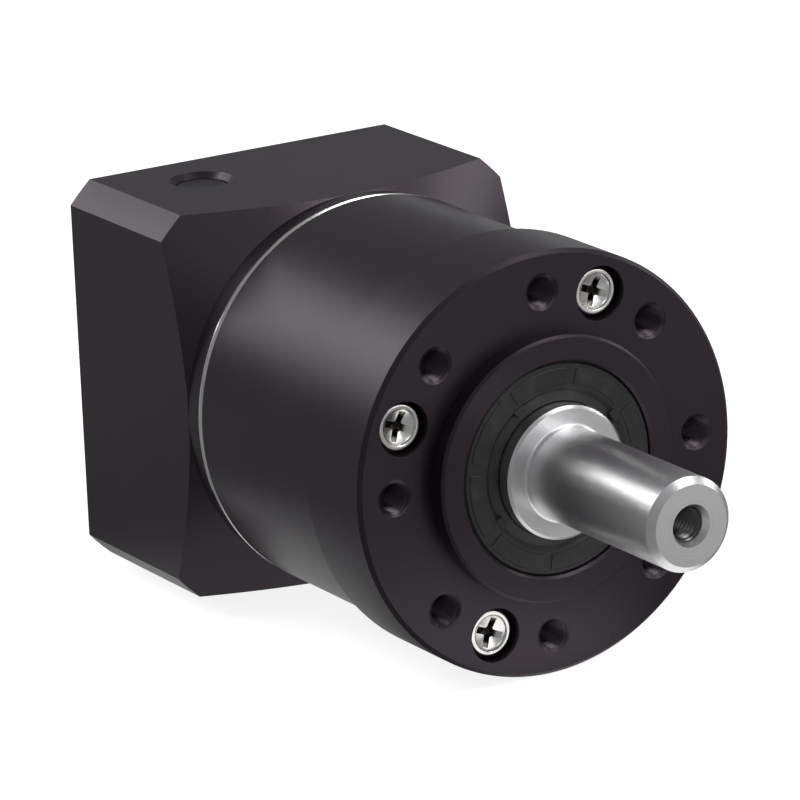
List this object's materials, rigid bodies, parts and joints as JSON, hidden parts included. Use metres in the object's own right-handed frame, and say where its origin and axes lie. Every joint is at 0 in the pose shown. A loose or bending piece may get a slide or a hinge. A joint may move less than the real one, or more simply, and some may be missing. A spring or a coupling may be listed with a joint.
{
  "type": "planetary gearbox",
  "caption": "Inline planetary gearbox with a round output flange, solid output shaft, tubular ring gear body and square motor adapter with a clamp hub.",
  "frame": {"origin": "centre of the output flange's mounting face, on the axis of the output shaft", "axes": "+X out along the output shaft, +Z towards the side of the motor adapter with the access hole"},
  "size_m": [0.124, 0.064, 0.064],
  "materials": {
    "anodised": "satin black anodised aluminium",
    "ground_steel": "ground bright steel",
    "gear_steel": "case-hardened, oiled gear steel",
    "bearing_steel": "polished bearing steel",
    "zinc_plated": "bright zinc plated steel",
    "spring_steel": "blackened spring steel",
    "seal_rubber": "black nitrile rubber",
    "cage_polymer": "glass-filled polyamide",
    "plug_plastic": "black polyamide"
  },
  "bodies": {
    "housing": {"output_flange": "anodised", "ring_gear_body": "anodised", "motor_adapter": "anodised", "housing_screws": "zinc_plated", "output_seal": "seal_rubber", "input_seal": "seal_rubber", "output_seal_spring": "spring_steel", "input_seal_spring": "spring_steel", "flange_o_ring": "seal_rubber", "adapter_o_ring": "seal_rubber", "flange_retaining_ring": "spring_steel", "adapter_retaining_ring": "spring_steel", "front_bearing_outer_ring": "bearing_steel", "rear_bearing_outer_ring": "bearing_steel", "input_bearing_outer_ring": "bearing_steel"},
    "carrier": {"output_shaft": "ground_steel", "planet_pins": "bearing_steel", "planet_washers": "bearing_steel", "front_bearing_inner_ring": "bearing_steel", "rear_bearing_inner_ring": "bearing_steel", "shaft_retaining_ring": "spring_steel"},
    "input": {"input_hub": "gear_steel", "sun_pinion": "gear_steel", "clamp_collar": "gear_steel", "clamp_screw": "spring_steel", "input_bearing_inner_ring": "bearing_steel", "hub_retaining_ring": "spring_steel"},
    "front_balls": {"front_bearing_balls": "bearing_steel", "front_bearing_cage": "cage_polymer"},
    "rear_balls": {"rear_bearing_balls": "bearing_steel", "rear_bearing_cage": "cage_polymer"},
    "input_balls": {"input_bearing_balls": "bearing_steel", "input_bearing_cage": "cage_polymer"},
    "plug": {"access_plug": "plug_plastic"},
    "planet_1": {"planet_gear_1": "gear_steel"},
    "rollers_1": {"needle_rollers_1": "bearing_steel"},
    "planet_2": {"planet_gear_2": "gear_steel"},
    "rollers_2": {"needle_rollers_2": "bearing_steel"},
    "planet_3": {"planet_gear_3": "gear_steel"},
    "rollers_3": {"needle_rollers_3": "bearing_steel"}
  },
  "joints": [
    {"name": "output_spin", "type": "hinge", "parent": "housing", "child": "carrier", "pos_m": [0, 0, 0], "axis": [1, 0, 0], "continuous": true},
    {"name": "input_spin", "type": "hinge", "parent": "housing", "child": "input", "pos_m": [0, 0, 0], "axis": [1, 0, 0], "continuous": true},
    {"name": "front_balls_spin", "type": "hinge", "parent": "housing", "child": "front_balls", "pos_m": [0, 0, 0], "axis": [1, 0, 0], "continuous": true},
    {"name": "rear_balls_spin", "type": "hinge", "parent": "housing", "child": "rear_balls", "pos_m": [0, 0, 0], "axis": [1, 0, 0], "continuous": true},
    {"name": "input_balls_spin", "type": "hinge", "parent": "housing", "child": "input_balls", "pos_m": [0, 0, 0], "axis": [1, 0, 0], "continuous": true},
    {"name": "planet_1_spin", "type": "hinge", "parent": "carrier", "child": "planet_1", "pos_m": [0, 0, 0.0144], "axis": [1, 0, 0], "continuous": true},
    {"name": "rollers_1_spin", "type": "hinge", "parent": "carrier", "child": "rollers_1", "pos_m": [0, 0, 0.0144], "axis": [1, 0, 0], "continuous": true},
    {"name": "planet_2_spin", "type": "hinge", "parent": "carrier", "child": "planet_2", "pos_m": [0, -0.01247, -0.0072], "axis": [1, 0, 0], "continuous": true},
    {"name": "rollers_2_spin", "type": "hinge", "parent": "carrier", "child": "rollers_2", "pos_m": [0, -0.01247, -0.0072], "axis": [1, 0, 0], "continuous": true},
    {"name": "planet_3_spin", "type": "hinge", "parent": "carrier", "child": "planet_3", "pos_m": [0, 0.01247, -0.0072], "axis": [1, 0, 0], "continuous": true},
    {"name": "rollers_3_spin", "type": "hinge", "parent": "carrier", "child": "rollers_3", "pos_m": [0, 0.01247, -0.0072], "axis": [1, 0, 0], "continuous": true},
    {"name": "plug_lift", "type": "slide", "parent": "housing", "child": "plug", "axis": [0, 0, 1], "range_m": [0, 0.012]}
  ],
  "couplings": [
    {"joint": "input_spin", "follows": "output_spin", "ratio": 4},
    {"joint": "front_balls_spin", "follows": "output_spin", "ratio": 0.4158},
    {"joint": "rear_balls_spin", "follows": "output_spin", "ratio": 0.4514},
    {"joint": "input_balls_spin", "follows": "output_spin", "ratio": 1.7742},
    {"joint": "planet_1_spin", "follows": "output_spin", "ratio": -3},
    {"joint": "rollers_1_spin", "follows": "output_spin", "ratio": -1.8},
    {"joint": "planet_2_spin", "follows": "output_spin", "ratio": -3},
    {"joint": "rollers_2_spin", "follows": "output_spin", "ratio": -1.8},
    {"joint": "planet_3_spin", "follows": "output_spin", "ratio": -3},
    {"joint": "rollers_3_spin", "follows": "output_spin", "ratio": -1.8}
  ]
}
